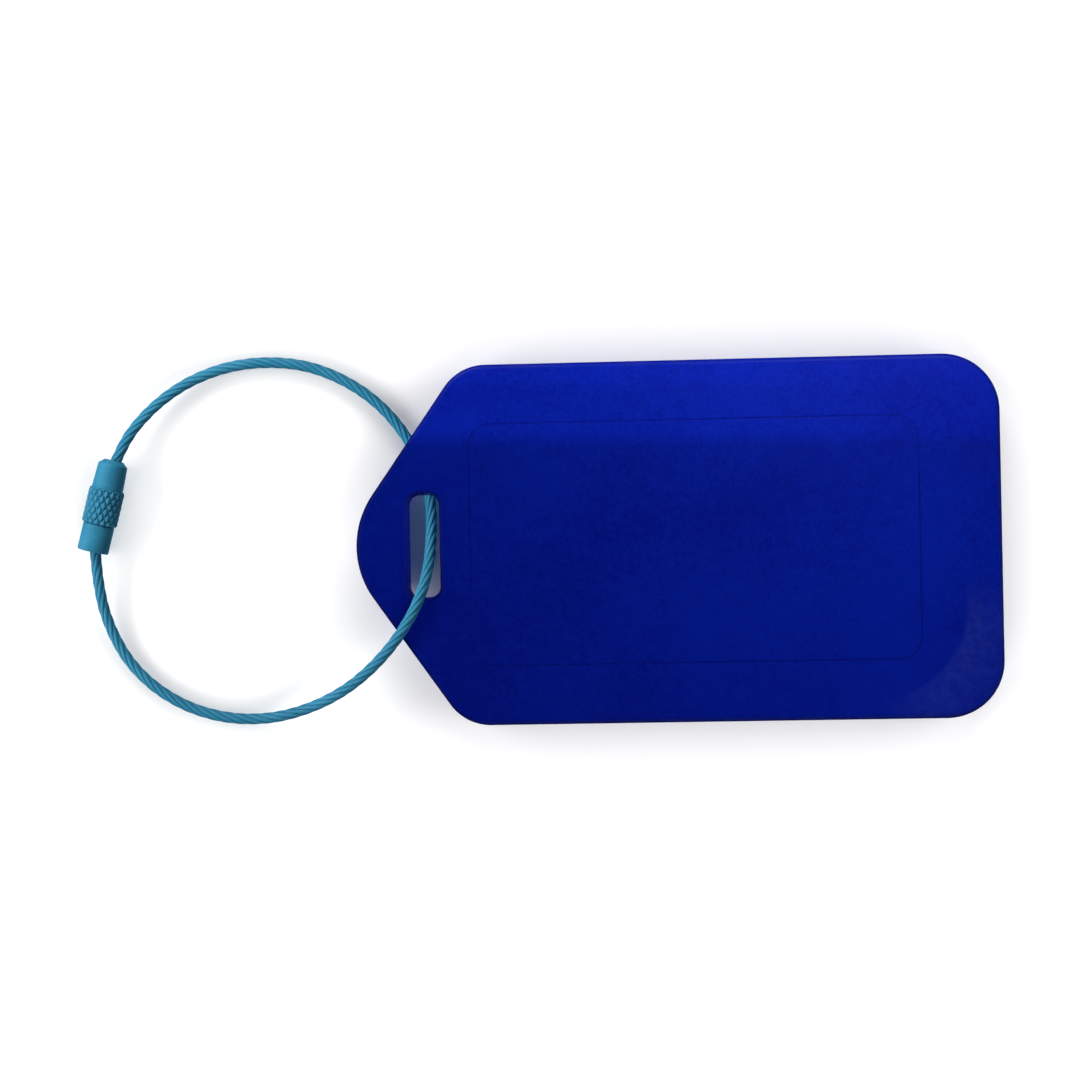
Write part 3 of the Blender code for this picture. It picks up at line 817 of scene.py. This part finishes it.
def blend_colour(tree, share, first, second):
    inputs = {"Factor": share, 6: first, 7: second}
    node = add(tree, "ShaderNodeMix", inputs, data_type="RGBA")
    return node.outputs[2]


def new_material(name):
    """A material with only its shader, and the object's own coordinates."""
    material = bpy.data.materials.new(name)
    material.use_nodes = True
    tree = material.node_tree
    shader = tree.nodes["Principled BSDF"]
    place = add(tree, "ShaderNodeTexCoord").outputs["Object"]
    return material, tree, shader, place


def set_bump(tree, shader, height, distance, strength=1.0):
    inputs = {"Height": height, "Distance": distance, "Strength": strength}
    bump = add(tree, "ShaderNodeBump", inputs)
    tree.links.new(bump.outputs["Normal"], shader.inputs["Normal"])


# The per-point share read here carries wear and also painted shade and painted highlight.
def wear_and_painted_light_attribute(tree):
    return add(tree, "ShaderNodeAttribute", attribute_name="wear_and_painted_light").outputs["Fac"]


def product(tree, first, *others):
    for other in others:
        first = maths(tree, "MULTIPLY", first, other)
    return first


def weighed_sum(tree, *terms):
    """Add up values, each times its weight."""
    products = [product(tree, value, weight) for value, weight in terms]
    total = products[0]
    for term in products[1:]:
        total = maths(tree, "ADD", total, term)
    return total


def blue_plastic():
    """Satin moulded plastic: fine grain, uneven tone, painted shade on the rounded edges and in the
    witness groove, paler edges from rubbing and a painted highlight, and a paler, rougher arc at
    one corner.
    """
    material, tree, shader, place = new_material("blue_plastic")
    wear_and_painted_light = wear_and_painted_light_attribute(tree)
    cloud = noise(tree, place, scale=45, detail=3)
    mottle = noise(tree, place, scale=420, detail=3, roughness=0.6)
    grain = noise(tree, place, scale=2600, roughness=0.6)
    tone = weighed_sum(tree, (cloud, 0.4), (mottle, 0.2), (grain, 0.4))
    base = blend_colour(tree, spread(tree, tone, 0.40, 0.60), BLUE_DEEP, BLUE_LIGHT)
    # Painted shade on the witness groove's floor
    line = spread(tree, wear_and_painted_light, 0.0, -1.0)
    line = product(tree, line, spread(tree, cloud, 0.35, 0.62, *WITNESS_SHADE_SHARE))
    base = blend_colour(tree, line, base, BLUE_WITNESS_SHADE)
    # Painted shade on the rounded edges, strongest half way round them
    rim = product(tree, spread(tree, wear_and_painted_light, 0.0, 0.8), RIM_SHADE_SHARE)
    base = blend_colour(tree, rim, base, BLUE_RIM_SHADE)

    split = add(tree, "ShaderNodeSeparateXYZ", {0: place}).outputs
    inputs = {0: place, 1: CORNER_ARC_CENTRE}
    reach = add(tree, "ShaderNodeVectorMath", inputs, operation="DISTANCE").outputs["Value"]
    streaks = noise(tree, place, scale=900, detail=4, roughness=0.7)
    streak = spread(tree, streaks, 0.42, 0.72)
    # A paler, rougher arc at one corner, broken up by streaks
    corner_arc = product(
        tree,
        spread(tree, reach, *CORNER_ARC_EDGE, smooth=True),
        spread(tree, reach, *CORNER_ARC_FADE, 1.0, 0.2, smooth=True),
        spread(tree, split["X"], *CORNER_ARC_X, smooth=True),
        spread(tree, split["Y"], *CORNER_ARC_Y, smooth=True),
        spread(tree, streak, 0.0, 1.0, 0.35, 1.0),
    )
    # Paler edges: partly rubbing, partly a painted highlight along the rim
    rubbing = noise(tree, place, scale=260, detail=4, roughness=0.7)
    rub = product(tree, wear_and_painted_light, spread(tree, rubbing, 0.45, 0.68), RUB_AND_HIGHLIGHT_SHARE)
    pale_share = maths(tree, "MAXIMUM", product(tree, corner_arc, CORNER_ARC_SHARE), rub)
    colour = blend_colour(tree, pale_share, base, BLUE_PALE)
    tree.links.new(colour, shader.inputs["Base Color"])
    rough = spread(tree, grain, *NOISE_RANGE, *BLUE_ROUGHNESS)
    rough = maths(tree, "ADD", rough, product(tree, pale_share, 0.5))
    tree.links.new(rough, shader.inputs["Roughness"])
    shader.inputs["IOR"].default_value = 1.49
    shader.inputs["Specular IOR Level"].default_value = 0.06
    height = maths(tree, "ADD", grain, product(tree, mottle, 2.0))
    set_bump(tree, shader, height, distance=0.000014, strength=0.7)
    return material


def rope_coating():
    """Turquoise coating over twisted strands: painted shade in the creases and a painted highlight
    on the crowns.
    """
    material, tree, shader, place = new_material("rope_coating")
    depth = wear_and_painted_light_attribute(tree)
    cloud = noise(tree, place, scale=120, detail=3)
    fine = noise(tree, place, scale=2600, detail=3, roughness=0.6)
    tone = spread(tree, maths(tree, "ADD", cloud, product(tree, fine, 0.4)), 0.5, 0.9)
    base = blend_colour(tree, tone, ROPE_DEEP, ROPE_LIGHT)
    # Painted shade in the creases between strands
    crease_shade = product(tree, spread(tree, depth, 0.55, 1.0), CREASE_SHADE_SHARE)
    colour = blend_colour(tree, crease_shade, base, ROPE_CREASE_SHADE)
    # Painted highlight on the strands' crowns
    crown_highlight = spread(tree, depth, 0.14, 0.0)
    rub = product(tree, crown_highlight, spread(tree, fine, 0.4, 0.7, *CROWN_HIGHLIGHT_SHARE))
    colour = blend_colour(tree, rub, colour, ROPE_CROWN_HIGHLIGHT)
    tree.links.new(colour, shader.inputs["Base Color"])
    rough = spread(tree, fine, *NOISE_RANGE, *ROPE_ROUGHNESS)
    tree.links.new(rough, shader.inputs["Roughness"])
    shader.inputs["IOR"].default_value = 1.5
    shader.inputs["Specular IOR Level"].default_value = 0.16
    set_bump(tree, shader, fine, distance=0.000015, strength=0.5)
    return material


def barrel_paint():
    """Turquoise paint with an orange-peel skin, painted shade in the knurl's grooves, and rubbed
    lighter on the knurl's peaks and the thread's crests.
    """
    material, tree, shader, place = new_material("barrel_paint")
    wear_and_painted_light = wear_and_painted_light_attribute(tree)
    cloud = noise(tree, place, scale=260, detail=3)
    peel = noise(tree, place, scale=3000)
    tone = spread(tree, maths(tree, "ADD", cloud, product(tree, peel, 0.5)), 0.55, 0.95)
    base = blend_colour(tree, tone, PAINT_DEEP, PAINT_LIGHT)
    # Painted shade in the knurl's grooves
    groove = product(tree, spread(tree, wear_and_painted_light, 0.0, -1.0), KNURL_GROOVE_SHADE_SHARE)
    base = blend_colour(tree, groove, base, PAINT_GROOVE_SHADE)
    rub = spread(tree, peel, 0.35, 0.65, *KNURL_RUB_SHARE)
    rub = product(tree, spread(tree, wear_and_painted_light, 0.7, 1.0), rub)
    colour = blend_colour(tree, rub, base, PAINT_RUBBED)
    tree.links.new(colour, shader.inputs["Base Color"])
    rough = spread(tree, peel, *NOISE_RANGE, *PAINT_ROUGHNESS)
    tree.links.new(rough, shader.inputs["Roughness"])
    shader.inputs["IOR"].default_value = 1.5
    shader.inputs["Specular IOR Level"].default_value = 0.14
    set_bump(tree, shader, peel, distance=0.00002, strength=0.5)
    return material


def drawn_steel():
    """Plain steel with fine marks round it."""
    material, tree, shader, place = new_material("drawn_steel")
    marks = noise(tree, place, scale=5200, detail=3, roughness=0.7)
    cloud = noise(tree, place, scale=700)
    colour = blend_colour(tree, cloud, STEEL_DEEP, STEEL_LIGHT)
    tree.links.new(colour, shader.inputs["Base Color"])
    rough = spread(tree, marks, *NOISE_RANGE, *STEEL_ROUGHNESS)
    tree.links.new(rough, shader.inputs["Roughness"])
    shader.inputs["Metallic"].default_value = 1.0
    set_bump(tree, shader, marks, distance=0.000006, strength=0.6)
    return material


def ruled_card():
    """Uncoated card with plain ruled lines on its lower face."""
    material, tree, shader, place = new_material("ruled_card")
    fibre = noise(tree, place, scale=2200, detail=4, roughness=0.7)
    cloud = noise(tree, place, scale=90)
    tone = weighed_sum(tree, (fibre, 0.6), (cloud, 0.4))
    paper = blend_colour(tree, spread(tree, tone, *NOISE_RANGE), PAPER_DEEP, PAPER_LIGHT)
    split = add(tree, "ShaderNodeSeparateXYZ", {0: place}).outputs
    row = maths(tree, "PINGPONG", maths(tree, "ADD", split["Y"], LINE_SHIFT), LINE_SPACING)
    off_middle = maths(tree, "ABSOLUTE", maths(tree, "SUBTRACT", split["X"], LINE_MIDDLE_X))
    off_axis = maths(tree, "ABSOLUTE", split["Y"])
    facing = add(tree, "ShaderNodeTexCoord").outputs["Normal"]
    below = add(tree, "ShaderNodeSeparateXYZ", {0: facing}).outputs["Z"]
    ink = product(
        tree,
        spread(tree, row, *LINE_EDGE),
        maths(tree, "LESS_THAN", off_axis, LINE_HALF_BAND),
        maths(tree, "LESS_THAN", off_middle, LINE_HALF_LENGTH),
        maths(tree, "LESS_THAN", below, -0.5),
        spread(tree, fibre, 0.3, 0.6, *INK_SHARE),
    )
    colour = blend_colour(tree, ink, paper, INK)
    tree.links.new(colour, shader.inputs["Base Color"])
    rough = spread(tree, fibre, *NOISE_RANGE, *PAPER_ROUGHNESS)
    tree.links.new(rough, shader.inputs["Roughness"])
    set_bump(tree, shader, fibre, distance=0.00002, strength=0.5)
    return material


def mix_with_transparent(tree, shader, share, colour=(1, 1, 1, 1)):
    """Let a share of the light straight through a material."""
    through = add(tree, "ShaderNodeBsdfTransparent", {"Color": colour}).outputs[0]
    mix = add(tree, "ShaderNodeMixShader", {0: share, 1: shader.outputs[0], 2: through})
    tree.links.new(mix.outputs[0], tree.nodes["Material Output"].inputs["Surface"])


def clear_plastic():
    """A polished clear pane with faint rub marks, which lets lamps light what is behind it."""
    material, tree, shader, place = new_material("clear_plastic")
    haze = noise(tree, place, scale=1500, detail=5, roughness=0.75)
    cloud = noise(tree, place, scale=70)
    tint = blend_colour(tree, cloud, PANE_DEEP, PANE_LIGHT)
    tree.links.new(tint, shader.inputs["Base Color"])
    rough = spread(tree, haze, 0.45, 0.75, *PANE_ROUGHNESS)
    tree.links.new(rough, shader.inputs["Roughness"])
    shader.inputs["Transmission Weight"].default_value = 1.0
    shader.inputs["IOR"].default_value = 1.49
    set_bump(tree, shader, cloud, distance=0.00002, strength=0.3)
    lamp_ray = add(tree, "ShaderNodeLightPath").outputs["Is Shadow Ray"]
    mix_with_transparent(tree, shader, lamp_ray, PANE_SHADOW)
    return material


# ---------------------------------------------------------------- the studio


def make_camera():
    camera = bpy.data.objects.new("camera", bpy.data.cameras.new("camera"))
    bpy.context.scene.collection.objects.link(camera)
    right = STUDIO.col[0].to_3d()
    up = STUDIO.col[1].to_3d()
    straight_up = Vector((0, 0, 1))
    back = straight_up * math.cos(VIEW_LEAN) + right * math.sin(VIEW_LEAN)
    place = Matrix((up.cross(back), up, back)).transposed().to_4x4()
    place.translation = VIEW_CENTRE + back * VIEW_DISTANCE
    camera.matrix_world = place
    camera.data.lens = camera.data.sensor_width * VIEW_DISTANCE / VIEW_WIDTH
    camera.data.clip_start = NEAREST_SEEN
    bpy.context.scene.camera = camera


def make_area_light(name, place, target, width, depth, watts):
    """A soft panel that faces its target, its width level."""
    light = bpy.data.lights.new(name, "AREA")
    light.shape = "RECTANGLE"
    light.size = width
    light.size_y = depth
    light.energy = watts
    lamp = bpy.data.objects.new(name, light)
    bpy.context.scene.collection.objects.link(lamp)
    start = STUDIO @ Vector(place)
    facing = (STUDIO @ Vector(target) - start).normalized()
    lamp.rotation_mode = "QUATERNION"
    lamp.rotation_quaternion = facing.to_track_quat("-Z", "Y")
    lamp.location = start
    return lamp


def make_world():
    """A white backdrop whose light is strongest at the horizon and faint straight above."""
    world = bpy.data.worlds.new("world")
    world.use_nodes = True
    tree = world.node_tree
    background = tree.nodes["Background"]
    direction = add(tree, "ShaderNodeTexCoord").outputs["Generated"]
    height = add(tree, "ShaderNodeSeparateXYZ", {0: direction}).outputs["Z"]
    height = maths(tree, "ABSOLUTE", height)
    level = spread(
        tree, height, 0.0, ZENITH_START, HORIZON_LEVEL, ZENITH_LEVEL, smooth=True
    )
    seen = add(tree, "ShaderNodeLightPath").outputs["Is Camera Ray"]
    level = maths(tree, "MAXIMUM", level, seen)
    tree.links.new(level, background.inputs["Strength"])
    background.inputs["Color"].default_value = (1, 1, 1, 1)
    bpy.context.scene.world = world


def make_floor():
    """A pale floor that fades out far off, seen from above only, and open to light from below."""
    half = FLOOR_HALF
    mesh = bpy.data.meshes.new("floor")
    corners = [(-half, -half, 0), (half, -half, 0), (half, half, 0), (-half, half, 0)]
    mesh.from_pydata(corners, [], [(0, 1, 2, 3)])
    floor = bpy.data.objects.new("floor", mesh)
    bpy.context.scene.collection.objects.link(floor)
    material, tree, shader, place = new_material("floor")
    path = add(tree, "ShaderNodeLightPath").outputs
    pale = blend_colour(tree, path["Is Camera Ray"], FLOOR_UNSEEN, FLOOR_SEEN)
    tree.links.new(pale, shader.inputs["Base Color"])
    shader.inputs["Roughness"].default_value = 1.0
    shader.inputs["Specular IOR Level"].default_value = 0.0
    behind = add(tree, "ShaderNodeNewGeometry").outputs["Backfacing"]
    share = maths(tree, "MAXIMUM", path["Is Shadow Ray"], behind)
    reach = add(tree, "ShaderNodeVectorMath", {0: place}, operation="LENGTH").outputs["Value"]
    share = maths(tree, "MAXIMUM", share, spread(tree, reach, *FLOOR_FADE, smooth=True))
    mix_with_transparent(tree, shader, share)
    mesh.materials.append(material)
    return floor


def make_blocker(name, points, faces):
    """A part of the studio that nothing sees and that only keeps light away."""
    mesh = bpy.data.meshes.new(name)
    mesh.from_pydata(points, [], faces)
    blocker = bpy.data.objects.new(name, mesh)
    bpy.context.scene.collection.objects.link(blocker)
    blocker.visible_camera = False
    blocker.visible_diffuse = False
    blocker.visible_glossy = False
    blocker.visible_transmission = False
    return blocker


def make_flag():
    """An upright card that keeps the back lights to the far side of the tag."""
    corners = [
        (-FLAG_HALF, FLAG_Y, FLAG_LOW),
        (FLAG_HALF, FLAG_Y, FLAG_LOW),
        (FLAG_HALF, FLAG_Y, FLAG_HIGH),
        (-FLAG_HALF, FLAG_Y, FLAG_HIGH),
    ]
    return make_blocker("flag", [STUDIO @ Vector(corner) for corner in corners], [(0, 1, 2, 3)])


def make_slot_shade():
    """A low card under the slot that keeps the floor lamps' light off the floor there."""
    corners = [(x, y, SHADE_HEIGHT) for x, y in SHADE_CORNERS]
    return make_blocker("slot_shade", corners, [(0, 1, 2, 3, 4)])


def link_group(name, pieces, state):
    """A group that a lamp is either kept to or kept off."""
    group = bpy.data.collections.new(name)
    for piece in pieces:
        group.objects.link(piece)
    for member in group.collection_objects:
        member.light_linking.link_state = state
    return group


def make_studio(tag_pieces):
    """Lamps for the tag, for the loop and for the floor, each kept to its own pieces."""
    make_world()
    floor = make_floor()
    flag = make_flag()
    shade = make_slot_shade()
    members = {
        "off_floor": ([floor], "EXCLUDE"),
        "floor_only": ([floor], "INCLUDE"),
        "tag_only": (tag_pieces, "INCLUDE"),
        "loop_only": ([floor] + tag_pieces, "EXCLUDE"),
        "past_flag": ([flag, shade], "EXCLUDE"),
        "off_flag": ([flag], "EXCLUDE"),
        "past_tag": ([flag, shade] + tag_pieces, "EXCLUDE"),
    }
    groups = {name: link_group(name, *member) for name, member in members.items()}
    for name, place, target, width, depth, watts, lit, cut_by in LAMPS:
        lamp = make_area_light(name, place, target, width, depth, watts)
        lamp.visible_camera = False
        lamp.visible_transmission = False
        lamp.visible_glossy = name not in UNREFLECTED
        lamp.light_linking.receiver_collection = groups[lit]
        lamp.light_linking.blocker_collection = groups.get(cut_by)
    bpy.context.scene.view_settings.view_transform = "Standard"


# ---------------------------------------------------------------- the object


def cut_nail_notch(frame_piece):
    """A shallow dish in the frame's edge, to lift the window with a nail."""
    shape = bmesh.new()
    place = Matrix.Translation((POCKET_END_X, 0, NAIL_NOTCH_DEPTH - NAIL_NOTCH_RADIUS))
    bmesh.ops.create_uvsphere(
        shape,
        u_segments=BALL_COLUMNS,
        v_segments=BALL_ROWS,
        radius=NAIL_NOTCH_RADIUS,
        matrix=place,
    )
    mesh = bpy.data.meshes.new("nail_notch")
    shape.to_mesh(mesh)
    shape.free()
    ball = bpy.data.objects.new("nail_notch", mesh)
    bpy.context.scene.collection.objects.link(ball)
    modifier = frame_piece.modifiers.new("nail_notch", "BOOLEAN")
    modifier.operation = "DIFFERENCE"
    modifier.solver = "EXACT"
    modifier.object = ball
    bpy.context.view_layer.update()
    evaluated = frame_piece.evaluated_get(bpy.context.evaluated_depsgraph_get())
    cut = bpy.data.meshes.new_from_object(evaluated)
    frame_piece.modifiers.clear()
    frame_piece.data = cut
    bpy.data.objects.remove(ball)
    cut.shade_smooth()
    cut.set_sharp_from_angle(angle=SHARP_ANGLE)


def repaint(node, material):
    node.data.materials.clear()
    node.data.materials.append(material)


def build():
    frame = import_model()
    make_camera()

    rope, route, rope_length = make_rope(rope_coating())
    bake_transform(rope)
    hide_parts("wire_rope")

    paint = barrel_paint()
    barrel = make_knurled_barrel(paint)
    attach(barrel, "sleeve")
    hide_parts("knurled_sleeve")

    screw = make_screw_end(paint)
    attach(screw, "loop")
    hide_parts("threaded_end")

    plastic = blue_plastic()
    back = make_tag_back(plastic)
    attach(back, "tag")
    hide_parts("back_shell")

    front = make_tag_frame(plastic)
    cut_nail_notch(front)
    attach(front, "tag")
    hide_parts("front_frame")

    repaint(frame["nodes"]["clear_window"], clear_plastic())
    repaint(frame["nodes"]["address_card"], ruled_card())
    steel = drawn_steel()
    repaint(frame["nodes"]["hinge_pin"], steel)
    repaint(frame["nodes"]["stop_ferrule"], steel)

    make_studio([back, front])


build()
